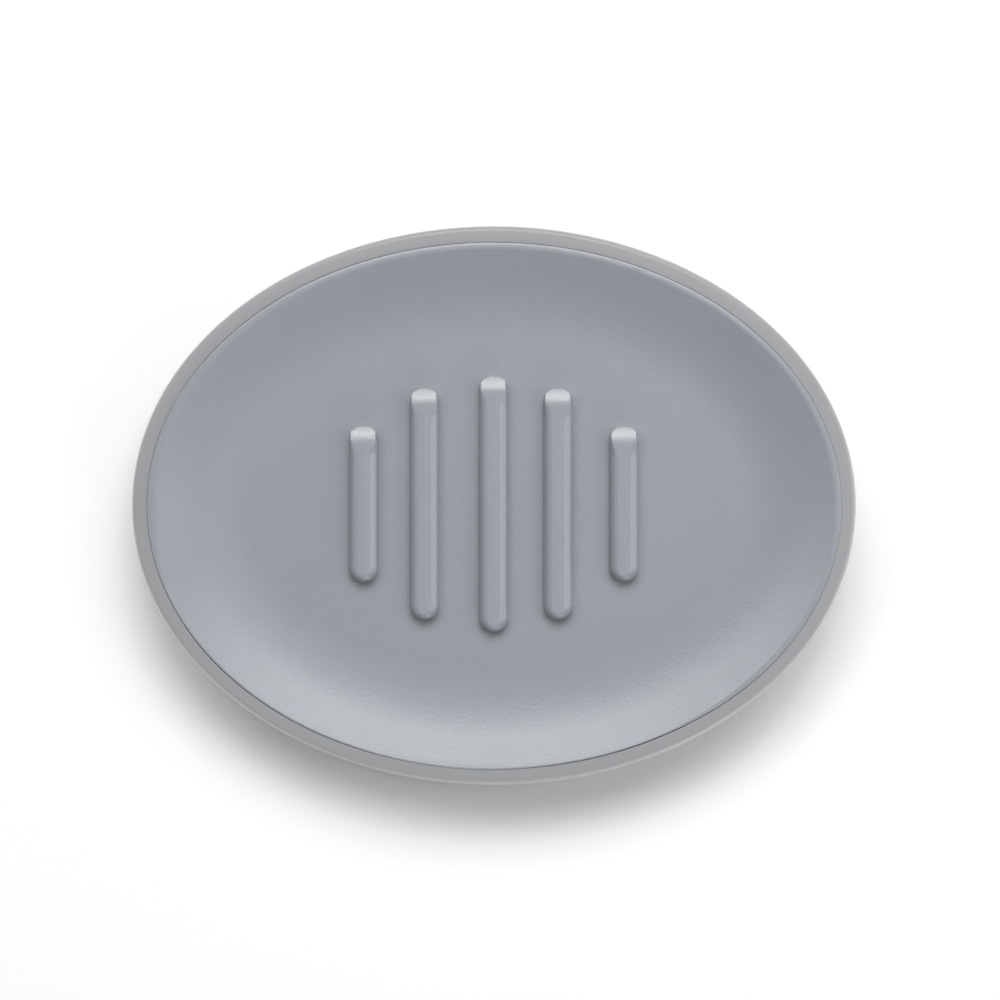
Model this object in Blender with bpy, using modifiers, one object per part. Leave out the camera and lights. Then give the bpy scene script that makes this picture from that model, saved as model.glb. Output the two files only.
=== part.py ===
"""Oval two-piece soap dish: a bowl-shaped outer shell, a dished inner tray with five
soap ribs that drops into it, and four round non-slip pads under the base.

Metres, +Z up. The origin is at the middle of the footprint, on the surface that the
dish stands on. +X is the long axis and +Y points away from the user.

Every oval section is a true ellipse. Sections are described by one number, the
inset from the widest outline, so a section at inset d has the semi-axes
HALF_LENGTH - d and HALF_WIDTH - d.
"""

import math

import bmesh
import bpy
from mathutils import Matrix, Vector

MM = 0.001

# ---------------------------------------------------------------- overall size
HALF_LENGTH = 70.0 * MM          # 140 mm long
HALF_WIDTH = 54.0 * MM           # 108 mm wide
RIM_Z = 15.7 * MM                # top land of the shell
SEGMENTS = 72                    # round every oval

# ---------------------------------------------------------------- outer shell
LAND_WIDTH = 3.0 * MM            # plain band between outline and seam
SEAM_GAP = 0.30 * MM             # clearance between shell and tray edge
RIM_RADIUS = 1.3 * MM            # outer edge of the land
RIM_INNER_CHAMFER = 0.2 * MM
WIDEST_Z = 13.0 * MM             # the wall is vertical above this height
BASE_INSET = 22.0 * MM           # the wall's curve meets the base here
BASE_Z = 1.0 * MM                # standing ring of the base
BASE_RING_INNER_INSET = 26.0 * MM
BASE_RECESS_Z = 1.4 * MM
SHELL_FLOOR_Z = 3.4 * MM         # inside floor
OUTER_STEPS, INNER_STEPS = 9, 7   # along the wall's two curves

# supports that stand on the inside of the wall and carry the tray's flange
SUPPORTS = 12
SUPPORT_THICKNESS = 1.8 * MM
SUPPORT_INSET = 4.6 * MM         # inner face
SUPPORT_TOP_Z = 13.7 * MM
SUPPORT_OUTER_INSET = 2.4 * MM   # outer face, buried in the wall
SUPPORT_FOOT_Z = 8.0 * MM        # foot, buried in the wall where it curves in

# ---------------------------------------------------------------- inner tray
TRAY_EDGE_INSET = LAND_WIDTH + SEAM_GAP / 2
LIP_RADIUS = 0.5 * MM            # outer edge of the tray's rounded lip
LIP_CREST_Z = 16.0 * MM
LIP_INNER_INSET = 4.7 * MM       # the lip's inner rounding meets the slope here
SLOPE_DEG = 22.4                 # straight slope inside the lip ...
SLOPE_END_INSET = 8.0 * MM       # ... down to here
FLOOR_INSET = 21.8 * MM          # its cove runs out into the floor here
TRAY_WALL = 2.0 * MM
FLANGE_UNDER_Z = 14.0 * MM       # 0.3 mm over the supports
LOCATING_INSET = 5.0 * MM        # step that centres the tray inside the supports
COVE_STEPS, UNDER_STEPS = 8, 6    # along the cove and its underside

# ---------------------------------------------------------------- soap ribs
RIB_WIDTH = 5.65 * MM
RIB_HEIGHT = 3.0 * MM
RIB_FLAT = 1.7 * MM              # width of the flat along the crest
RIB_Y = 0.25 * MM                # common centre of the ribs
RIBS = (                         # centre in X, length
    (-25.3 * MM, 30.2 * MM),
    (-13.5 * MM, 44.8 * MM),
    (-0.1 * MM, 49.5 * MM),
    (12.4 * MM, 44.8 * MM),
    (25.2 * MM, 30.0 * MM),
)
CORE_WIDTH = 2.0 * MM            # the ribs are hollowed from below
CORE_TOP_Z = 12.7 * MM
END_STEPS = 6                    # round each quarter of a rib end

# ---------------------------------------------------------------- pads
PAD_RADIUS = 5.0 * MM
PAD_TOP_Z = 2.1 * MM
PAD_CLEARANCE = 0.3 * MM
PAD_EDGE = 0.4 * MM
PAD_X, PAD_Y = 28.0 * MM, 13.0 * MM
GATE_RADIUS, GATE_DEPTH = 2.2 * MM, 0.35 * MM   # dimple of the moulding gate


def clear_scene():
    for obj in list(bpy.data.objects):
        bpy.data.objects.remove(obj, do_unlink=True)


def collection(name):
    made = bpy.data.collections.new(name)
    bpy.context.scene.collection.children.link(made)
    return made


def material(name, colour, roughness):
    made = bpy.data.materials.new(name)
    made.use_nodes = True
    shader = made.node_tree.nodes["Principled BSDF"]
    shader.inputs["Base Color"].default_value = (*colour, 1.0)
    shader.inputs["Roughness"].default_value = roughness
    shader.inputs["Metallic"].default_value = 0.0
    return made


def to_object(bm, name, where, finish=None):
    """The bmesh as a named object in a collection, shaded smooth with crisp corners."""
    bmesh.ops.remove_doubles(bm, verts=bm.verts, dist=1e-6)
    bmesh.ops.recalc_face_normals(bm, faces=bm.faces)
    mesh = bpy.data.meshes.new(name)
    bm.to_mesh(mesh)
    bm.free()
    mesh.shade_smooth()
    mesh.set_sharp_from_angle(angle=math.radians(35))
    if finish:
        mesh.materials.append(finish)
    obj = bpy.data.objects.new(name, mesh)
    where.objects.link(obj)
    return obj


def spin_profile(points, segments, angle=math.tau):
    """A profile of (radius, height) points turned about the Z axis."""
    bm = bmesh.new()
    verts = [bm.verts.new((r, 0.0, z)) for r, z in points]
    edges = [bm.edges.new(pair) for pair in zip(verts, verts[1:])]
    bmesh.ops.spin(
        bm,
        geom=verts + edges,
        cent=(0, 0, 0),
        axis=(0, 0, 1),
        angle=angle,
        steps=segments,
        use_merge=False,
    )
    bmesh.ops.remove_doubles(bm, verts=bm.verts, dist=1e-6)
    return bm


def stretch_to_oval(bm):
    """A turned shape of radius HALF_WIDTH - d becomes one whose sections are ellipses
    at inset d: each point moves along X by the difference of the two half-sizes.
    Near the axis, where the shape is flat, the move fades to nothing."""
    extra = HALF_LENGTH - HALF_WIDTH
    fade = 20.0 * MM
    for v in bm.verts:
        r = math.hypot(v.co.x, v.co.y)
        if r > 1e-9:
            v.co.x += extra * min(1.0, r / fade) * v.co.x / r


def arc(cx, cz, radius, start_deg, end_deg, steps, radius_z=None):
    """Points of an arc in (inset, height), with angles from +inset towards +Z."""
    radius_z = radius if radius_z is None else radius_z
    return [
        (
            cx + radius * math.cos(math.radians(start_deg + (end_deg - start_deg) * i / steps)),
            cz + radius_z * math.sin(math.radians(start_deg + (end_deg - start_deg) * i / steps)),
        )
        for i in range(steps + 1)
    ]


def oval_body(profile):
    """Turns a profile of (inset, height) that starts and ends on the axis."""
    bm = spin_profile([(HALF_WIDTH - inset, z) for inset, z in profile], SEGMENTS)
    stretch_to_oval(bm)
    return bm


def add_boolean(obj, cutter, operation):
    modifier = obj.modifiers.new(f"{operation.lower()} {cutter.name}", "BOOLEAN")
    modifier.object = cutter
    modifier.operation = operation
    modifier.solver = "EXACT"


def as_cutter(obj):
    obj.hide_render = True
    obj.display_type = "WIRE"
    return obj


def shell_profile():
    inner_inset = LAND_WIDTH - SEAM_GAP / 2
    outer_height = WIDEST_Z - BASE_Z
    inner_height = WIDEST_Z - SHELL_FLOOR_Z
    points = [
        (HALF_WIDTH, BASE_RECESS_Z),
        (BASE_RING_INNER_INSET, BASE_RECESS_Z),
        (BASE_RING_INNER_INSET - 0.4 * MM, BASE_Z),
    ]
    # outside of the bowl: a quarter of an ellipse from the base to the widest height
    points += arc(BASE_INSET, WIDEST_Z, BASE_INSET, 270, 180, OUTER_STEPS, outer_height)
    points += arc(RIM_RADIUS, RIM_Z - RIM_RADIUS, RIM_RADIUS, 180, 90, 4)
    points += [
        (inner_inset - RIM_INNER_CHAMFER, RIM_Z),
        (inner_inset, RIM_Z - RIM_INNER_CHAMFER),
    ]
    # inside of the bowl, back down to the floor
    points += arc(
        BASE_INSET, WIDEST_Z, BASE_INSET - inner_inset, 180, 270, INNER_STEPS, inner_height
    )
    points.append((HALF_WIDTH, SHELL_FLOOR_Z))
    return points


def support_blocks(where):
    """The twelve upright supports as one helper of separate bars."""
    bm = bmesh.new()
    for i in range(SUPPORTS):
        t = math.tau * (i + 0.5) / SUPPORTS
        inner = Vector(
            ((HALF_LENGTH - SUPPORT_INSET) * math.cos(t), (HALF_WIDTH - SUPPORT_INSET) * math.sin(t), 0)
        )
        outer = Vector(
            ((HALF_LENGTH - SUPPORT_OUTER_INSET) * math.cos(t), (HALF_WIDTH - SUPPORT_OUTER_INSET) * math.sin(t), 0)
        )
        along = (outer - inner).normalized()
        middle = (inner + outer) / 2 + Vector((0, 0, (SUPPORT_TOP_Z + SUPPORT_FOOT_Z) / 2))
        turn = Matrix.Rotation(math.atan2(along.y, along.x), 4, "Z")
        size = Matrix.Diagonal(
            ((outer - inner).length, SUPPORT_THICKNESS, SUPPORT_TOP_Z - SUPPORT_FOOT_Z, 1)
        )
        bmesh.ops.create_cube(bm, size=1.0, matrix=Matrix.Translation(middle) @ turn @ size)
    return as_cutter(to_object(bm, "supports", where))


def disc(name, where, radius, low, high, x=0.0, y=0.0, segments=24, finish=None):
    bm = bmesh.new()
    bmesh.ops.create_cone(
        bm, cap_ends=True, segments=segments, radius1=radius, radius2=radius, depth=high - low
    )
    obj = to_object(bm, name, where, finish)
    obj.location = (x, y, (low + high) / 2)
    return obj


def pad_places():
    return {
        "back_left": (-PAD_X, PAD_Y),
        "back_right": (PAD_X, PAD_Y),
        "front_left": (-PAD_X, -PAD_Y),
        "front_right": (PAD_X, -PAD_Y),
    }


def make_shell(parts, helpers, finish):
    shell = to_object(oval_body(shell_profile()), "outer_shell", parts, finish)
    add_boolean(shell, support_blocks(helpers), "UNION")
    for corner, (x, y) in pad_places().items():
        hole = disc(
            f"recess_{corner}", helpers, PAD_RADIUS + PAD_CLEARANCE,
            BASE_Z - 2 * MM, PAD_TOP_Z + PAD_CLEARANCE, x, y,
        )
        add_boolean(shell, as_cutter(hole), "DIFFERENCE")
    gate = disc("gate_shell", helpers, GATE_RADIUS, BASE_Z - 2 * MM, BASE_RECESS_Z + GATE_DEPTH)
    add_boolean(shell, as_cutter(gate), "DIFFERENCE")
    return shell


def tray_section():
    """The arcs of the lip's inner rounding and of the cove as (inset, height, radius),
    and the floor's height. The straight slope joins the two arcs."""
    slope = math.radians(SLOPE_DEG)
    sine, cosine, tangent = math.sin(slope), math.cos(slope), math.tan(slope)
    crest = TRAY_EDGE_INSET + LIP_RADIUS
    rounding = (LIP_INNER_INSET - crest) / sine
    reach = (FLOOR_INSET - SLOPE_END_INSET) / sine
    top_z = LIP_CREST_Z - rounding * (1 - cosine)
    end_z = top_z - (SLOPE_END_INSET - LIP_INNER_INSET) * tangent
    lip = (crest, LIP_CREST_Z - rounding, rounding)
    cove = (FLOOR_INSET, end_z + reach * cosine, reach)
    return lip, cove, cove[1] - reach


def tray_profile():
    (lip_x, lip_z, lip_r), (cx, cz, reach), floor_z = tray_section()
    under = reach + TRAY_WALL
    points = [(HALF_WIDTH, floor_z - TRAY_WALL)]
    points += arc(cx, cz, under, 270, 270 - SLOPE_DEG, UNDER_STEPS)
    # the underside's straight slope ends at the locating step
    x, z = points[-1]
    rise = (x - LOCATING_INSET) * math.tan(math.radians(SLOPE_DEG))
    points += [(LOCATING_INSET, z + rise), (LOCATING_INSET, FLANGE_UNDER_Z)]
    points += [(TRAY_EDGE_INSET, FLANGE_UNDER_Z)]
    points += arc(lip_x, LIP_CREST_Z - LIP_RADIUS, LIP_RADIUS, 180, 90, 4)
    points += arc(lip_x, lip_z, lip_r, 90, 90 - SLOPE_DEG, 3)[1:]
    points += arc(cx, cz, reach, 270 - SLOPE_DEG, 270, COVE_STEPS)
    points.append((HALF_WIDTH, floor_z))
    return points


def long_bar(name, where, profile, length, x, end_radius):
    """A bar along Y with half-round ends: half a turned end, its open side pulled to
    the middle, and a Mirror for the other half."""
    straight = length / 2 - end_radius
    bm = spin_profile(profile, END_STEPS * 2, math.pi)
    for v in bm.verts:
        v.co.y += straight
    rim = [e for e in bm.edges if all(abs(v.co.y - straight) < 1e-7 for v in e.verts) and e.is_boundary]
    pulled = bmesh.ops.extrude_edge_only(bm, edges=rim)["geom"]
    for v in (g for g in pulled if isinstance(g, bmesh.types.BMVert)):
        v.co.y = 0.0
    obj = to_object(bm, name, where)
    obj.location = (x, RIB_Y, 0)
    mirror = obj.modifiers.new("other half", "MIRROR")
    mirror.use_axis = (False, True, False)
    mirror.use_mirror_merge = True
    mirror.merge_threshold = 0.00001
    return as_cutter(obj)


def rib_profile(floor_z):
    half, flat, top = RIB_WIDTH / 2, RIB_FLAT / 2, floor_z + RIB_HEIGHT
    bend = half - flat
    points = [(0.0, top)]
    points += [
        (flat + bend * math.sin(math.radians(a)), top - bend + bend * math.cos(math.radians(a)))
        for a in (0, 20, 40, 60, 75, 90)
    ]
    return points + [(half, floor_z - 0.8 * MM), (0.0, floor_z - 0.8 * MM)]


def core_profile(floor_z):
    half = CORE_WIDTH / 2
    low = floor_z - TRAY_WALL - 1.0 * MM
    return [(0.0, CORE_TOP_Z), (half - 0.3 * MM, CORE_TOP_Z), (half, CORE_TOP_Z - 0.3 * MM), (half, low), (0.0, low)]


def make_tray(parts, helpers, finish):
    tray = to_object(oval_body(tray_profile()), "inner_tray", parts, finish)
    floor_z = tray_section()[2]
    for i, (x, length) in enumerate(RIBS, 1):
        rib = long_bar(f"rib_{i}", helpers, rib_profile(floor_z), length, x, RIB_WIDTH / 2)
        add_boolean(tray, rib, "UNION")
    for i, (x, length) in enumerate(RIBS, 1):
        core_length = length - (RIB_WIDTH - CORE_WIDTH)
        core = long_bar(f"core_{i}", helpers, core_profile(floor_z), core_length, x, CORE_WIDTH / 2)
        add_boolean(tray, core, "DIFFERENCE")
    return tray


def make_pads(parts, finish):
    for corner, (x, y) in pad_places().items():
        pad = disc(f"foot_pad_{corner}", parts, PAD_RADIUS, 0.0, PAD_TOP_Z, x, y, 24, finish)
        bevel = pad.modifiers.new("soft edge", "BEVEL")
        bevel.width = PAD_EDGE
        bevel.segments = 2
        bevel.limit_method = "ANGLE"
        bevel.angle_limit = math.radians(60)


def main():
    clear_scene()
    parts = collection("soap_dish")
    helpers = collection("cutters")
    # linear values of the greys seen on the two mouldings
    shell_finish = material("shell soft-touch plastic", (0.288, 0.293, 0.297), 0.5)
    tray_finish = material("tray matte plastic", (0.264, 0.279, 0.304), 0.55)
    pad_finish = material("non-slip pad rubber", (0.055, 0.056, 0.059), 0.8)
    make_shell(parts, helpers, shell_finish)
    make_tray(parts, helpers, tray_finish)
    make_pads(parts, pad_finish)


main()
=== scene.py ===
"""Looks of the oval soap dish: fine meshes and finishes for its two mouldings and its
pads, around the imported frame. All lengths are metres, in the frame of the model."""

import math

import bmesh
import bpy
from mathutils import Matrix, Vector


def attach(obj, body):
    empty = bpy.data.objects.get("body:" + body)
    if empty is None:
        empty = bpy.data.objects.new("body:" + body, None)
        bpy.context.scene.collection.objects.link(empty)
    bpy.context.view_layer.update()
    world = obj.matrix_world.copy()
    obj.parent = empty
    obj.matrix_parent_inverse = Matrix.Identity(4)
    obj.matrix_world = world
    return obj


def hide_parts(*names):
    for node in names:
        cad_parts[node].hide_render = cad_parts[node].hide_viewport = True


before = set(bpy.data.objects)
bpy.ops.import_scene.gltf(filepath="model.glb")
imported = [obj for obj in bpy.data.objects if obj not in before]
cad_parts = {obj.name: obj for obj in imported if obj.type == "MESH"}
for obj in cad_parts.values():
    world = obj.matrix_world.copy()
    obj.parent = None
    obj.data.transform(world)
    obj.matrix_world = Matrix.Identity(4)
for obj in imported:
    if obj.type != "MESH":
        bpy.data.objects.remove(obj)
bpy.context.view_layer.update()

MM = 0.001
HALF_LENGTH, HALF_WIDTH = 70.0 * MM, 54.0 * MM
RIM_Z = 15.7 * MM
SEGMENTS = 432

# the shell's section, as (inset from the widest outline, height)
RIM_RADIUS = 1.15 * MM
RIM_CROWN = 0.06 * MM           # fall of the land's outer part before its rounded edge
RIM_INNER_RADIUS = 0.08 * MM
WIDEST_Z = 13.0 * MM
BASE_INSET = 22.0 * MM
BASE_Z = 1.0 * MM
BASE_RING_INNER_INSET = 26.0 * MM
BASE_RECESS_Z = 1.4 * MM
SHELL_FLOOR_Z = 3.4 * MM

SUPPORTS = 12
SUPPORT_THICKNESS = 1.8 * MM
SUPPORT_INSET = 4.6 * MM
SUPPORT_OUTER_INSET = 2.4 * MM
SUPPORT_TOP_Z = 13.7 * MM
SUPPORT_FOOT_Z = 8.0 * MM

# the tray's section
TRAY_EDGE_INSET = 3.3 * MM      # of the flange, below the lip
LIP_EDGE_RADIUS = 0.08 * MM
LIP_CREST_Z = 16.0 * MM
SLOPE_END_INSET = 9.0 * MM      # the slope is straight down to here
FLOOR_INSET = 21.8 * MM         # and its cove runs out into the floor here
TRAY_DEPTH = 4.30 * MM          # floor below the lip's crest
TRAY_WALL = 2.0 * MM
FLANGE_UNDER_Z = 14.0 * MM
LOCATING_INSET = 5.0 * MM

# The seam and the lip are not the same all round. By azimuth (0 right, 90 back), in degrees
# and mm: inset of the land's inner edge, width of the seam, outward tilt of the lip's outer
# part, insets of the crest's two sides, inset and tilt of the inner ridge, and the inset
# where the slope begins.
LIP = (
    (0, 2.94, 0.04, 27, 3.78, 3.83, 4.55, 19, 4.85),
    (20, 3.03, 0.05, 20, 3.78, 3.83, 4.55, 19, 4.85),
    (40, 3.22, 0.07, 18, 3.98, 3.98, 4.55, 20, 4.80),
    (60, 3.29, 0.07, 17, 4.04, 4.04, 4.60, 19, 4.80),
    (90, 3.24, 0.08, 16, 4.06, 4.06, 4.60, 19, 4.80),
    (120, 3.20, 0.08, 17, 4.04, 4.04, 4.65, 19, 4.85),
    (140, 3.18, 0.08, 15, 3.85, 4.15, 4.75, 19, 4.95),
    (160, 3.06, 0.06, 6, 3.50, 4.20, 4.70, 15, 5.10),
    (180, 3.02, 0.07, 3, 3.35, 4.15, 5.00, 17, 5.20),
    (200, 2.98, 0.10, 1, 3.24, 3.25, 3.55, 16, 4.60),
    (220, 2.90, 0.16, 1, 3.22, 3.23, 3.50, 18, 4.40),
    (240, 2.96, 0.07, 1, 3.20, 3.21, 3.38, 19, 4.35),
    (265, 2.95, 0.02, 1, 3.06, 3.07, 3.32, 16, 4.50),
    (282, 3.11, 0.08, 1, 3.29, 3.30, 3.52, 19, 4.50),
    (300, 3.07, 0.18, 1, 3.34, 3.35, 3.56, 19, 4.50),
    (312, 3.02, 0.09, 3, 3.35, 3.50, 4.00, 21, 4.45),
    (322, 3.00, 0.02, 6, 3.45, 3.78, 4.16, 21, 4.50),
    (340, 2.97, 0.02, 8, 3.60, 3.70, 4.05, 20, 4.45),
)

# at the front the lip dips until it is almost flush with the land: azimuth of the lowest
# point, degrees to each of its ends, and depth
LIP_DIP = (262, 26, 0.18 * MM)

RIB_WIDTH = 5.65 * MM
RIB_HEIGHT = 3.0 * MM
RIB_SIDE = 1.1 * MM             # upright foot of the rib's side
RIB_ROUND_LEFT = 1.7 * MM       # a rib is rounded over this far in from its left side,
RIB_ROUND_RIGHT = 2.7 * MM      # its right side
RIB_ROUND_FRONT = 1.2 * MM      # and its front end
RIB_BACK_END = 4.6 * MM         # its back end falls over this length, ever steeper ...
RIB_BACK_SLOPE = 0.48
RIB_BACK_EDGE = 0.12 * MM       # ... to a small rounded edge
RIB_BACK_SHAPE = 2.5            # its plan is blunter than a half round: exponent of the oval
RIB_BACK_CRISP = 0.78           # and its sides are rounded over by this share less, in full
RIB_BACK_CRISP_FULL = 2.3 * MM  # up to here
RIB_BACK_CRISP_NONE = 6.0 * MM  # and no longer from here
RIB_FILLET = 0.12 * MM
RIB_Y = 0.25 * MM
RIBS = (
    (-25.3 * MM, 30.2 * MM),
    (-13.5 * MM, 44.8 * MM),
    (-0.1 * MM, 49.5 * MM),
    (12.4 * MM, 44.8 * MM),
    (25.2 * MM, 30.0 * MM),
)
CORE_WIDTH = 2.0 * MM
CORE_TOP_Z = 12.7 * MM

PAD_RADIUS = 5.0 * MM
PAD_TOP_Z = 2.1 * MM
PAD_CLEARANCE = 0.3 * MM
PAD_X, PAD_Y = 28.0 * MM, 13.0 * MM
GATE_RADIUS, GATE_DEPTH = 2.2 * MM, 0.35 * MM


# ------------------------------------------------------------------ mesh helpers
def arc(cx, cz, radius, start_deg, end_deg, steps, radius_z=None):
    radius_z = radius if radius_z is None else radius_z
    turn = math.radians(end_deg - start_deg) / steps
    return [
        (
            cx + radius * math.cos(math.radians(start_deg) + turn * i),
            cz + radius_z * math.sin(math.radians(start_deg) + turn * i),
        )
        for i in range(steps + 1)
    ]


def oval_solid(profiles):
    """A closed body round an ellipse: one profile of (inset, height) points for every
    segment, joined into rings, with a flat face over the first and the last ring."""
    bm = bmesh.new()
    rings = []
    for k in range(len(profiles[0])):
        ring = []
        for i in range(SEGMENTS):
            t = math.tau * i / SEGMENTS
            inset, z = profiles[i][k]
            ring.append(
                bm.verts.new(
                    ((HALF_LENGTH - inset) * math.cos(t), (HALF_WIDTH - inset) * math.sin(t), z)
                )
            )
        rings.append(ring)
    for a, b in zip(rings, rings[1:]):
        for i in range(SEGMENTS):
            j = (i + 1) % SEGMENTS
            bm.faces.new((a[i], a[j], b[j], b[i]))
    bm.faces.new(reversed(rings[0]))
    bm.faces.new(rings[-1])
    bmesh.ops.recalc_face_normals(bm, faces=bm.faces)
    return bm


def new_object(bm, name):
    mesh = bpy.data.meshes.new(name)
    bm.to_mesh(mesh)
    bm.free()
    obj = bpy.data.objects.new(name, mesh)
    bpy.context.scene.collection.objects.link(obj)
    return obj


def cut_and_join(obj, steps):
    """Applies Booleans in order, removes the helpers, and shades smooth with crisp edges."""
    for helper, operation in steps:
        modifier = obj.modifiers.new(operation, "BOOLEAN")
        modifier.object, modifier.operation, modifier.solver = helper, operation, "EXACT"
    graph = bpy.context.evaluated_depsgraph_get()
    made = bpy.data.meshes.new_from_object(obj.evaluated_get(graph))
    obj.modifiers.clear()
    old, obj.data = obj.data, made
    bpy.data.meshes.remove(old)
    made.name = obj.name
    for helper in {h for h, _ in steps}:
        mesh = helper.data
        bpy.data.objects.remove(helper, do_unlink=True)
        bpy.data.meshes.remove(mesh)
    finish_mesh(obj)
    return obj


def finish_mesh(obj, sharp_deg=28):
    bm = bmesh.new()
    bm.from_mesh(obj.data)
    bmesh.ops.remove_doubles(bm, verts=bm.verts, dist=2e-7)
    bmesh.ops.dissolve_degenerate(bm, edges=bm.edges, dist=2e-7)
    bm.to_mesh(obj.data)
    bm.free()
    obj.data.shade_smooth()
    obj.data.set_sharp_from_angle(angle=math.radians(sharp_deg))


def disc(name, radius, low, high, x=0.0, y=0.0, segments=96, edge=0.0):
    bm = bmesh.new()
    bmesh.ops.create_cone(
        bm, cap_ends=True, segments=segments, radius1=radius, radius2=radius, depth=high - low,
        matrix=Matrix.Translation((x, y, (low + high) / 2)),
    )
    if edge:
        rims = [e for e in bm.edges if abs(e.verts[0].co.z - e.verts[1].co.z) < 1e-9]
        bmesh.ops.bevel(
            bm, geom=rims, offset=edge, offset_type="OFFSET", segments=5, profile=0.5,
            affect="EDGES", clamp_overlap=True,
        )
    return new_object(bm, name)


# ------------------------------------------------------------------ outer shell
def shell_profile(azimuth):
    inner, gap = lip_at(azimuth)[:2]
    radius = RIM_INNER_RADIUS * min(1.8, seam_share(gap))
    points = [
        (BASE_RING_INNER_INSET + 0.6 * MM, BASE_RECESS_Z),
        (BASE_RING_INNER_INSET + 0.1 * MM, BASE_RECESS_Z),
        (BASE_RING_INNER_INSET, BASE_RECESS_Z - 0.03 * MM),
        (BASE_RING_INNER_INSET - 0.28 * MM, BASE_Z + 0.08 * MM),
        (BASE_RING_INNER_INSET - 0.36 * MM, BASE_Z + 0.02 * MM),
        (BASE_RING_INNER_INSET - 0.48 * MM, BASE_Z),
        (BASE_RING_INNER_INSET - 0.9 * MM, BASE_Z),
    ]
    points += arc(BASE_INSET, WIDEST_Z, BASE_INSET, 270, 180, 56, WIDEST_Z - BASE_Z)
    # rounded outer edge, running out into a slightly crowned land
    edge_z = RIM_Z - RIM_CROWN
    points += arc(RIM_RADIUS, edge_z - RIM_RADIUS, RIM_RADIUS, 180, 95, 18)
    start = points[-1]
    for i in range(1, 7):
        t = i / 6
        inset = start[0] + (inner - radius - start[0]) * t
        points.append((inset, start[1] + (RIM_Z - start[1]) * (1 - (1 - t) ** 2)))
    points += arc(inner - radius, RIM_Z - radius, radius, 90, 0, 5)[1:]
    points += arc(BASE_INSET, WIDEST_Z, BASE_INSET - inner, 180, 270, 40, WIDEST_Z - SHELL_FLOOR_Z)
    points.append((BASE_INSET + 0.8 * MM, SHELL_FLOOR_Z))
    return points


def seam_share(gap):
    """Size of the seam's edge radii for a width of the seam: they are smaller where it closes."""
    return 0.3 + gap / (0.1 * MM)


def support_bars():
    bm = bmesh.new()
    for i in range(SUPPORTS):
        t = math.tau * (i + 0.5) / SUPPORTS
        inner, outer = (
            Vector(((HALF_LENGTH - inset) * math.cos(t), (HALF_WIDTH - inset) * math.sin(t), 0))
            for inset in (SUPPORT_INSET, SUPPORT_OUTER_INSET)
        )
        along = (outer - inner).normalized()
        middle = (inner + outer) / 2 + Vector((0, 0, (SUPPORT_TOP_Z + SUPPORT_FOOT_Z) / 2))
        turn = Matrix.Rotation(math.atan2(along.y, along.x), 4, "Z")
        size = Matrix.Diagonal(
            ((outer - inner).length, SUPPORT_THICKNESS, SUPPORT_TOP_Z - SUPPORT_FOOT_Z, 1)
        )
        bmesh.ops.create_cube(bm, size=1.0, matrix=Matrix.Translation(middle) @ turn @ size)
    bmesh.ops.bevel(
        bm, geom=list(bm.edges), offset=0.25 * MM, offset_type="OFFSET", segments=3, profile=0.5,
        affect="EDGES",
    )
    return new_object(bm, "support_bars")


def pad_places():
    return {
        "back_left": (-PAD_X, PAD_Y),
        "back_right": (PAD_X, PAD_Y),
        "front_left": (-PAD_X, -PAD_Y),
        "front_right": (PAD_X, -PAD_Y),
    }


def make_shell():
    profiles = [shell_profile(360 * i / SEGMENTS) for i in range(SEGMENTS)]
    shell = new_object(oval_solid(profiles), "shell_bowl")
    steps = [(support_bars(), "UNION")]
    for corner, (x, y) in pad_places().items():
        hole = disc(
            f"hole_{corner}", PAD_RADIUS + PAD_CLEARANCE, BASE_Z - 2 * MM,
            PAD_TOP_Z + PAD_CLEARANCE, x, y,
        )
        steps.append((hole, "DIFFERENCE"))
    gate = disc("gate_hole", GATE_RADIUS, BASE_Z - 2 * MM, BASE_RECESS_Z + GATE_DEPTH)
    steps.append((gate, "DIFFERENCE"))
    return cut_and_join(shell, steps)


# ------------------------------------------------------------------ inner tray
def lip_at(azimuth):
    """The row of LIP at an azimuth, in degrees and metres, eased between its neighbours."""
    rows = LIP + ((LIP[0][0] + 360, *LIP[0][1:]),)
    for low, high in zip(rows, rows[1:]):
        if low[0] <= azimuth <= high[0]:
            break
    f = (azimuth - low[0]) / (high[0] - low[0])
    f = f * f * (3 - 2 * f)
    land, gap, tilt, crest, flat, ridge, ridge_tilt, meet = (
        p + (q - p) * f for p, q in zip(low[1:], high[1:])
    )
    return land * MM, gap * MM, tilt, crest * MM, flat * MM, ridge * MM, ridge_tilt, meet * MM


def lip_dip(azimuth):
    """How far the lip's crest lies below its full height at an azimuth."""
    centre, reach, depth = LIP_DIP
    share = max(0.0, 1 - abs(azimuth - centre) / reach)
    return depth * share * share * (3 - 2 * share)


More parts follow.
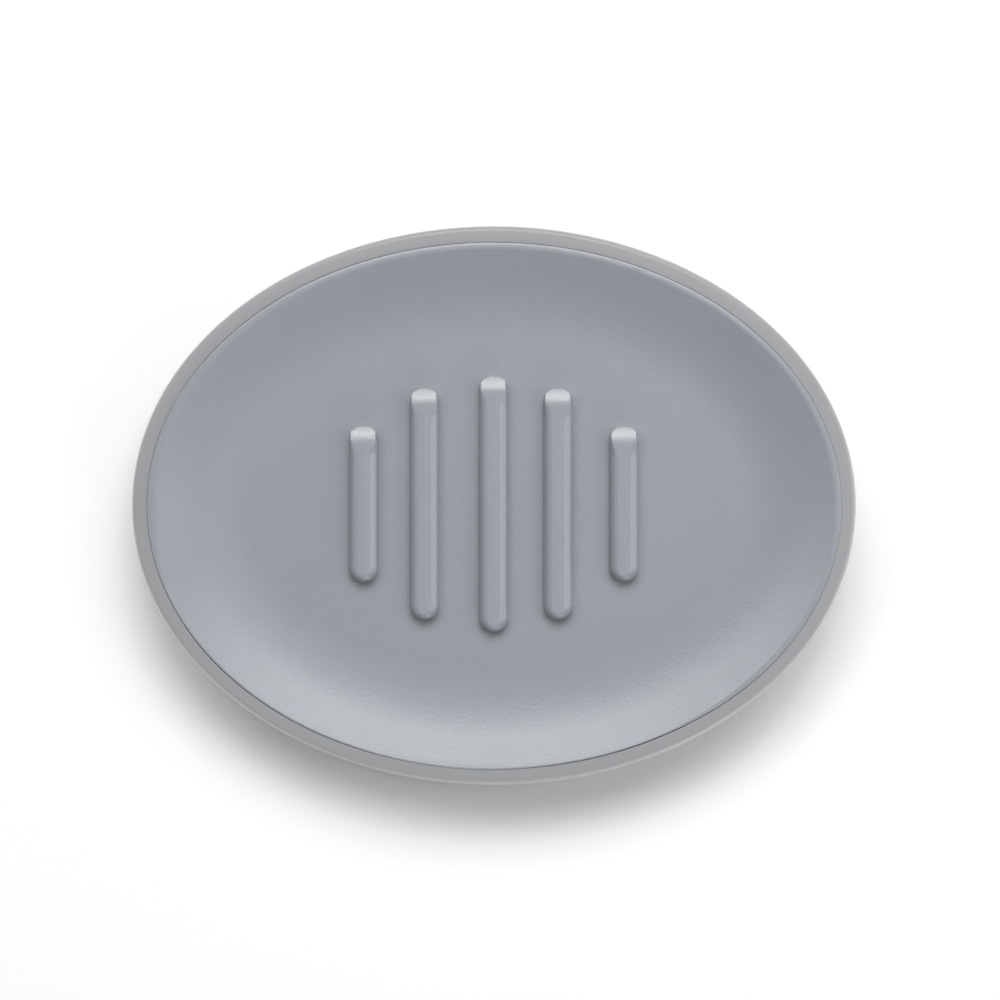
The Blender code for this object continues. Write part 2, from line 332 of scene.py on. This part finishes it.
def tray_top(azimuth, steps=34):
    """The tray's upper side from the seam to the floor. The tilt of the lip runs evenly
    between the insets of its row; the slope is then as steep as the depth asks for."""
    land, gap, tilt, crest, flat, ridge, ridge_tilt, meet = lip_at(azimuth)
    edge = land + gap
    crest_z = LIP_CREST_Z - lip_dip(azimuth)
    floor_z = LIP_CREST_Z - TRAY_DEPTH
    r = LIP_EDGE_RADIUS * min(1.0, seam_share(gap))
    first = edge + r * (1 - math.sin(math.radians(tilt)))
    insets = [first + (meet - first) * i / steps for i in range(steps + 1)]

    def tilt_at(x, slope):
        knots = ((first, -tilt), (crest, 0.0), (flat, 0.0), (ridge, ridge_tilt), (meet, slope))
        for (x0, t0), (x1, t1) in zip(knots, knots[1:]):
            if x <= x1:
                return t0 + (t1 - t0) * max(0.0, x - x0) / max(1e-9, x1 - x0)
        return slope

    slope = 20.0
    for _ in range(6):
        z, heights, top = 0.0, [0.0], 0.0
        for x0, x1 in zip(insets, insets[1:]):
            z -= math.tan(math.radians(tilt_at((x0 + x1) / 2, slope))) * (x1 - x0)
            heights.append(z)
            top = max(top, z)
        left = crest_z - floor_z - (top - z)
        for _ in range(8):
            tangent = math.tan(math.radians(slope))
            half = math.tan(math.radians(slope / 2))
            slope *= left / ((SLOPE_END_INSET - meet) * tangent + (FLOOR_INSET - SLOPE_END_INSET) * half)
    lift = crest_z - top
    start = heights[0] + lift - r * math.cos(math.radians(tilt))
    points = arc(edge + r, start, r, 180, 90 + tilt, 7)[:-1]
    points += [(x, z + lift) for x, z in zip(insets, heights)]
    x0, z0 = points[-1]
    tangent = math.tan(math.radians(slope))
    points += [(x0 + (SLOPE_END_INSET - x0) * i / 5, z0 - (SLOPE_END_INSET - x0) * i / 5 * tangent)
               for i in range(1, 6)]
    reach = (FLOOR_INSET - SLOPE_END_INSET) / math.sin(math.radians(slope))
    points += arc(FLOOR_INSET, floor_z + reach, reach, 270 - slope, 270, 44)[1:]
    return points


def tray_profile(azimuth):
    floor_z = LIP_CREST_Z - TRAY_DEPTH
    top = tray_top(azimuth)
    edge = top[0][0]
    # the underside follows an even slope of its own
    sine = math.sin(math.radians(22.5))
    reach = (FLOOR_INSET + 1.4 * MM - LOCATING_INSET) / sine
    c = 0.15 * MM
    points = [(FLOOR_INSET + 2.0 * MM, floor_z - TRAY_WALL)]
    points += arc(
        FLOOR_INSET + 1.4 * MM, floor_z - TRAY_WALL + reach, reach, 270, 247.5, 30
    )
    points += [
        (LOCATING_INSET, FLANGE_UNDER_Z - 2 * c),
        (LOCATING_INSET, FLANGE_UNDER_Z),
        (LOCATING_INSET - 2 * c, FLANGE_UNDER_Z),
        (TRAY_EDGE_INSET + c, FLANGE_UNDER_Z),
        (TRAY_EDGE_INSET + 0.3 * c, FLANGE_UNDER_Z + 0.3 * c),
        (TRAY_EDGE_INSET, FLANGE_UNDER_Z + c),
        (edge, FLANGE_UNDER_Z + c + 0.5 * MM),
    ]
    return points + top + [(FLOOR_INSET + 0.6 * MM, floor_z)]


def stadium(r, straight, side_steps, end_steps, back=2.0):
    """Points of the outline at distance r round a straight line along Y. Its back end is a
    half round, or blunter with a larger exponent."""
    points = []
    for i in range(side_steps):
        points.append((r, -straight + 2 * straight * i / side_steps))
    for i in range(end_steps):
        a = math.pi * i / end_steps
        across = math.copysign(abs(math.cos(a)) ** (2 / back), math.cos(a))
        points.append((r * across, straight + r * math.sin(a) ** (2 / back)))
    for i in range(side_steps):
        points.append((-r, straight - 2 * straight * i / side_steps))
    for i in range(end_steps):
        a = math.pi + math.pi * i / end_steps
        points.append((r * math.cos(a), -straight + r * math.sin(a)))
    return points


def rib_height(x, y, half, half_length):
    """Height of a rib's surface over the floor at a point of its plan."""
    over = max(0.0, abs(y) - (half_length - half))
    inset = max(0.0, half - math.hypot(x, over))
    side = RIB_ROUND_RIGHT if x > 0 else RIB_ROUND_LEFT
    if y > 0:
        n = RIB_BACK_SHAPE
        inset = max(0.0, half - (abs(x) ** n + over ** n) ** (1 / n))
        end = (RIB_BACK_CRISP_NONE - (half_length - y)) / (RIB_BACK_CRISP_NONE - RIB_BACK_CRISP_FULL)
        end = min(1.0, max(0.0, end))
        crisp = RIB_BACK_CRISP * end * end * (3 - 2 * end)
        across = rounded(half - abs(x), side * (1 - crisp))
    else:
        # the front end is rounded over like the sides
        turn = math.atan2(over, abs(x) + 1e-9)
        across = rounded(inset, side + (RIB_ROUND_FRONT - side) * math.sin(turn) ** 2)
    height = RIB_SIDE + (RIB_HEIGHT - RIB_SIDE) * across
    if y > 0:
        height -= back_drop(max(0.0, half_length - y))
        near = min(1.0, 2 * over / half)
        height -= near * RIB_BACK_EDGE * (1 - rounded(inset, RIB_BACK_EDGE))
    return height


def rounded(inset, radius):
    """Height of a quarter round at a distance from its foot, as a share of its radius."""
    return 1.0 if inset >= radius else math.sqrt(max(0.0, 1 - (1 - inset / radius) ** 2))


def back_drop(t, steps=60):
    """How far the back end's surface lies below the rib's top at a distance from the end."""
    width = RIB_BACK_END / steps
    drop = 0.0
    for i in range(steps):
        low = i * width
        share = min(1.0, max(0.0, (low + width - t) / width))
        if share:
            drop += share * width * RIB_BACK_SLOPE * (1 - ((low + width / 2) / RIB_BACK_END) ** 1.3) ** 1.4
    return drop


def make_rib(name, x, length, floor_z):
    half, half_length = RIB_WIDTH / 2, length / 2
    straight = half_length - half
    top = half - RIB_ROUND_LEFT
    bend = half - top
    side_steps, end_steps = 44, 40
    rings = []
    low = floor_z - 0.8 * MM
    foot = half + RIB_FILLET
    # foot: straight down under the floor, then the small fillet, then the upright side
    rings.append((foot - 0.004 * MM, low, False))
    for i in range(6):
        a = math.radians(78 - 78 * i / 5)
        rings.append(
            (foot - RIB_FILLET * math.sin(math.radians(90)) + RIB_FILLET * (1 - math.cos(a)) ,
             floor_z + RIB_FILLET * (1 - math.sin(a)), False)
        )
    rings.append((half, floor_z + RIB_SIDE * 0.7, False))
    # crown: rings close together near the side, where the surface bends most
    for i in range(21):
        a = math.radians(90 * i / 20)
        rings.append((half - bend * (1 - math.cos(a)), None, True))
    for r in (0.85, 0.7, 0.55, 0.4, 0.2, 0.0):
        rings.append((top * r, None, True))
    bm = bmesh.new()
    made = []
    for r, z, crown in rings:
        ring = []
        for px, py in stadium(r, straight, side_steps, end_steps, RIB_BACK_SHAPE):
            height = floor_z + rib_height(px, py, half, half_length) if crown else z
            ring.append(bm.verts.new((px, py, height)))
        made.append(ring)
    count = len(made[0])
    for a, b in zip(made, made[1:]):
        for i in range(count):
            j = (i + 1) % count
            bm.faces.new((a[i], a[j], b[j], b[i]))
    bm.faces.new(reversed(made[0]))
    bmesh.ops.remove_doubles(bm, verts=bm.verts, dist=1e-7)
    bmesh.ops.recalc_face_normals(bm, faces=bm.faces)
    bmesh.ops.translate(bm, verts=bm.verts, vec=(x, RIB_Y, 0))
    return new_object(bm, name)


def make_core(name, x, length, floor_z):
    """The hollow under a rib."""
    half = CORE_WIDTH / 2
    straight = (length - (RIB_WIDTH - CORE_WIDTH)) / 2 - half
    bm = bmesh.new()
    made = []
    low = floor_z - TRAY_WALL - 1.0 * MM
    for r, z in (
        (half + 0.06 * MM, low),
        (half + 0.06 * MM, floor_z - TRAY_WALL - 0.5 * MM),
        (half, CORE_TOP_Z - 0.4 * MM),
        (half - 0.12 * MM, CORE_TOP_Z - 0.12 * MM),
        (half - 0.4 * MM, CORE_TOP_Z),
    ):
        made.append([bm.verts.new((px, py, z)) for px, py in stadium(r, straight, 8, 20)])
    count = len(made[0])
    for a, b in zip(made, made[1:]):
        for i in range(count):
            j = (i + 1) % count
            bm.faces.new((a[i], a[j], b[j], b[i]))
    bm.faces.new(reversed(made[0]))
    bm.faces.new(made[-1])
    bmesh.ops.recalc_face_normals(bm, faces=bm.faces)
    bmesh.ops.translate(bm, verts=bm.verts, vec=(x, RIB_Y, 0))
    return new_object(bm, name)


def make_tray():
    floor_z = LIP_CREST_Z - TRAY_DEPTH
    profiles = [tray_profile(360 * i / SEGMENTS) for i in range(SEGMENTS)]
    tray = new_object(oval_solid(profiles), "soap_tray")
    steps = []
    for i, (x, length) in enumerate(RIBS, 1):
        steps.append((make_rib(f"rib_{i}", x, length, floor_z), "UNION"))
    for i, (x, length) in enumerate(RIBS, 1):
        steps.append((make_core(f"core_{i}", x, length, floor_z), "DIFFERENCE"))
    return cut_and_join(tray, steps)


# ------------------------------------------------------------------ finishes
class Nodes:
    """Short calls for a material's node tree."""

    def __init__(self, name):
        self.material = bpy.data.materials.new(name)
        self.material.use_nodes = True
        self.tree = self.material.node_tree
        self.shader = self.tree.nodes["Principled BSDF"]
        self.coordinates = self.tree.nodes.new("ShaderNodeTexCoord").outputs["Object"]

    def add(self, kind, **values):
        node = self.tree.nodes.new(kind)
        for key, value in values.items():
            if hasattr(node, key):
                setattr(node, key, value)
            else:
                node.inputs[key.replace("_", " ")].default_value = value
        return node

    def link(self, output, to):
        self.tree.links.new(output, to)

    def noise(self, scale, detail=2.0, roughness=0.5, distortion=0.0, stretch=None):
        node = self.add("ShaderNodeTexNoise", Scale=scale, Detail=detail, Roughness=roughness,
                        Distortion=distortion)
        source = self.coordinates
        if stretch:
            mapping = self.add("ShaderNodeMapping")
            mapping.inputs["Scale"].default_value = stretch[0]
            mapping.inputs["Rotation"].default_value = stretch[1]
            self.link(source, mapping.inputs["Vector"])
            source = mapping.outputs["Vector"]
        self.link(source, node.inputs["Vector"])
        return node.outputs["Fac"]

    def remap(self, value, low, high, to_low, to_high, smooth=False):
        node = self.add("ShaderNodeMapRange")
        if smooth:
            node.interpolation_type = "SMOOTHSTEP"
        for key, number in (("From Min", low), ("From Max", high), ("To Min", to_low), ("To Max", to_high)):
            node.inputs[key].default_value = number
        self.link(value, node.inputs["Value"])
        return node.outputs["Result"]

    def math(self, operation, a, b):
        node = self.add("ShaderNodeMath", operation=operation)
        for socket, value in zip(node.inputs, (a, b)):
            if isinstance(value, (int, float)):
                socket.default_value = value
            else:
                self.link(value, socket)
        return node.outputs["Value"]

    def bump(self, height, distance, strength=1.0, before=None):
        node = self.add("ShaderNodeBump", Strength=strength, Distance=distance)
        self.link(height, node.inputs["Height"])
        if before is not None:
            self.link(before, node.inputs["Normal"])
        return node.outputs["Normal"]

    def colour_between(self, factor, a, b):
        ramp = self.add("ShaderNodeValToRGB")
        ramp.color_ramp.elements[0].color = (*a, 1.0)
        ramp.color_ramp.elements[1].color = (*b, 1.0)
        self.link(factor, ramp.inputs["Fac"])
        return ramp.outputs["Color"]


def shade(colour, factor):
    return tuple(c * factor for c in colour)


TRAY_COLOUR = (0.274, 0.290, 0.318)
SHELL_COLOUR = (0.265, 0.269, 0.280)
PAD_COLOUR = (0.055, 0.056, 0.059)
TRAY_ROUGHNESS, RIB_ROUGHNESS = 0.31, 0.20
RIB_GLOSS_LOW_Z = LIP_CREST_Z - TRAY_DEPTH + 0.5 * MM
RIB_GLOSS_HIGH_Z = LIP_CREST_Z - TRAY_DEPTH + 1.3 * MM
RIB_AREA_INSET = 15.5 * MM      # the ribs lie inside this inset


def tray_finish():
    """Spark-eroded matte plastic: fine irregular grain, a little sparkle, faint mottling."""
    n = Nodes("tray_plastic_grain")
    mottle = n.noise(90.0, 3.0, 0.55)
    speckle = n.noise(2600.0, 1.0, 0.5)
    tone = n.math("ADD", n.remap(mottle, 0.3, 0.7, -0.35, 0.35), n.remap(speckle, 0.3, 0.7, 0.25, 0.75))
    n.link(
        n.colour_between(tone, shade(TRAY_COLOUR, 0.988), shade(TRAY_COLOUR, 1.012)),
        n.shader.inputs["Base Color"],
    )
    # the ribs' tops are smoother than the grained slopes
    height = n.add("ShaderNodeSeparateXYZ")
    n.link(n.coordinates, height.inputs["Vector"])
    rib = n.remap(height.outputs["Z"], RIB_GLOSS_LOW_Z, RIB_GLOSS_HIGH_Z, 1.0, 0.0, smooth=True)
    away = n.add("ShaderNodeVectorMath", operation="LENGTH")
    flat = n.add("ShaderNodeMapping")
    flat.inputs["Scale"].default_value = (1 / (HALF_LENGTH - RIB_AREA_INSET), 1 / (HALF_WIDTH - RIB_AREA_INSET), 0)
    n.link(n.coordinates, flat.inputs["Vector"])
    n.link(flat.outputs["Vector"], away.inputs[0])
    outside = n.remap(away.outputs["Value"], 0.97, 1.03, 0.0, 1.0)
    grained = n.math("MAXIMUM", rib, outside)
    rough = n.math("MULTIPLY", n.remap(n.noise(240.0, 2.0), 0.3, 0.7, 0.96, 1.04), n.remap(grained, 0.0, 1.0, RIB_ROUGHNESS, TRAY_ROUGHNESS))
    n.link(rough, n.shader.inputs["Roughness"])
    n.shader.inputs["Specular IOR Level"].default_value = 0.50
    grain = n.noise(1500.0, 3.0, 0.6, 0.6)
    wrinkle = n.noise(900.0, 2.0, 0.5, 1.2, (Vector((1.0, 2.2, 1.0)), (0.0, 0.0, 0.6)))
    height = n.math("ADD", n.math("MULTIPLY", grain, 0.6), n.math("MULTIPLY", wrinkle, 0.4))
    n.link(n.bump(height, 0.06 * MM), n.shader.inputs["Normal"])
    return n.material


def shell_finish():
    """Smooth soft-touch plastic: satin, with hardly any grain."""
    n = Nodes("shell_soft_touch")
    mottle = n.noise(70.0, 3.0, 0.55)
    speckle = n.noise(3200.0, 1.0, 0.5)
    tone = n.math("ADD", n.remap(mottle, 0.3, 0.7, -0.35, 0.35), n.remap(speckle, 0.3, 0.7, 0.3, 0.7))
    n.link(
        n.colour_between(tone, shade(SHELL_COLOUR, 0.988), shade(SHELL_COLOUR, 1.012)),
        n.shader.inputs["Base Color"],
    )
    n.link(n.remap(n.noise(160.0, 2.0), 0.3, 0.7, 0.33, 0.37), n.shader.inputs["Roughness"])
    n.shader.inputs["Specular IOR Level"].default_value = 0.45
    n.shader.inputs["Sheen Weight"].default_value = 1.0
    n.shader.inputs["Sheen Roughness"].default_value = 0.6
    height = n.noise(2400.0, 2.0, 0.5)
    n.link(n.bump(height, 0.008 * MM), n.shader.inputs["Normal"])
    return n.material


def pad_finish():
    """Cut rubber sheet: dark, dry, with a fine open texture."""
    n = Nodes("pad_rubber_grain")
    speckle = n.noise(1800.0, 3.0, 0.6)
    n.link(
        n.colour_between(speckle, shade(PAD_COLOUR, 0.8), shade(PAD_COLOUR, 1.25)),
        n.shader.inputs["Base Color"],
    )
    n.link(n.remap(n.noise(500.0, 2.0), 0.3, 0.7, 0.72, 0.86), n.shader.inputs["Roughness"])
    n.link(n.bump(n.noise(2600.0, 3.0, 0.65), 0.05 * MM), n.shader.inputs["Normal"])
    return n.material


# ------------------------------------------------------------------ camera, floor and light
def make_camera():
    data = bpy.data.cameras.new("camera")
    data.lens, data.sensor_width = 100.0, 36.0
    data.clip_start, data.clip_end = 0.01, 20.0
    camera = bpy.data.objects.new("camera", data)
    # straight overhead, 1000 px to 193.2 mm at the rim's height
    camera.location = (1.1435 * MM, 1.02 * MM, WIDEST_Z + 2 * MM + 0.19316 * 100.0 / 36.0)
    bpy.context.scene.collection.objects.link(camera)
    bpy.context.scene.camera = camera


def make_floor():
    bm = bmesh.new()
    bmesh.ops.create_grid(bm, x_segments=1, y_segments=1, size=3.0)
    floor = new_object(bm, "floor")
    material = bpy.data.materials.new("floor_white")
    material.use_nodes = True
    shader = material.node_tree.nodes["Principled BSDF"]
    shader.inputs["Base Color"].default_value = (0.93, 0.93, 0.93, 1.0)
    shader.inputs["Roughness"].default_value = 0.9
    shader.inputs["Specular IOR Level"].default_value = 0.1
    floor.data.materials.append(material)


# softboxes: azimuth and elevation in degrees, angular radius, radiance
SOFTBOXES = (
    (0, 10, 13, 2.82),
    (270, 10, 13, 3.36),
    (300, 10, 13, 6.35),
    (0, 34, 13, 1.14),
    (0, 46, 13, 1.79),
    (60, 46, 13, 3.73),
    (90, 46, 13, 6.03),
    (120, 46, 13, 3.09),
    (150, 46, 13, 2.95),
    (180, 46, 13, 0.70),
    (36, 58, 13, 0.83),
    (72, 58, 13, 3.36),
    (108, 58, 13, 2.49),
    (0, 82, 13, 1.15),
)
DISTANCE = 1.3


def make_light():
    world = bpy.data.worlds.new("studio")
    world.use_nodes = True
    background = world.node_tree.nodes["Background"]
    background.inputs["Color"].default_value = (1.0, 1.0, 1.0, 1.0)
    background.inputs["Strength"].default_value = 0.0
    bpy.context.scene.world = world
    for i, (azimuth, elevation, spread, radiance) in enumerate(SOFTBOXES, 1):
        softbox(f"softbox_{i}", azimuth, elevation, spread, radiance)


def softbox(name, azimuth, elevation, spread, radiance):
    a, e = math.radians(azimuth), math.radians(elevation)
    place = DISTANCE * Vector((math.cos(e) * math.cos(a), math.cos(e) * math.sin(a), math.sin(e)))
    size = 2 * DISTANCE * math.tan(math.radians(spread))
    data = bpy.data.lights.new(name, "AREA")
    data.shape, data.size = "DISK", size
    data.energy = radiance * math.pi * math.pi * size * size / 4
    light = bpy.data.objects.new(name, data)
    light.location = place + Vector((0, 0, RIM_Z))
    light.rotation_mode = "QUATERNION"
    light.rotation_quaternion = (-place).to_track_quat("-Z", "Y")
    bpy.context.scene.collection.objects.link(light)


# ------------------------------------------------------------------ assembly
def main():
    bpy.context.scene.view_settings.view_transform = "Standard"
    make_camera()
    make_floor()
    make_light()

    shell = make_shell()
    shell.data.materials.append(shell_finish())
    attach(shell, "shell")
    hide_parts("outer_shell")

    tray = make_tray()
    tray.data.materials.append(tray_finish())
    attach(tray, "tray")
    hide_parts("inner_tray")

    rubber = pad_finish()
    for corner, (x, y) in pad_places().items():
        pad = disc(f"pad_{corner}", PAD_RADIUS, 0.0, PAD_TOP_Z, x, y, 96, 0.4 * MM)
        finish_mesh(pad)
        pad.data.materials.append(rubber)
        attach(pad, "shell")
        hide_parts(f"foot_pad_{corner}")


main()
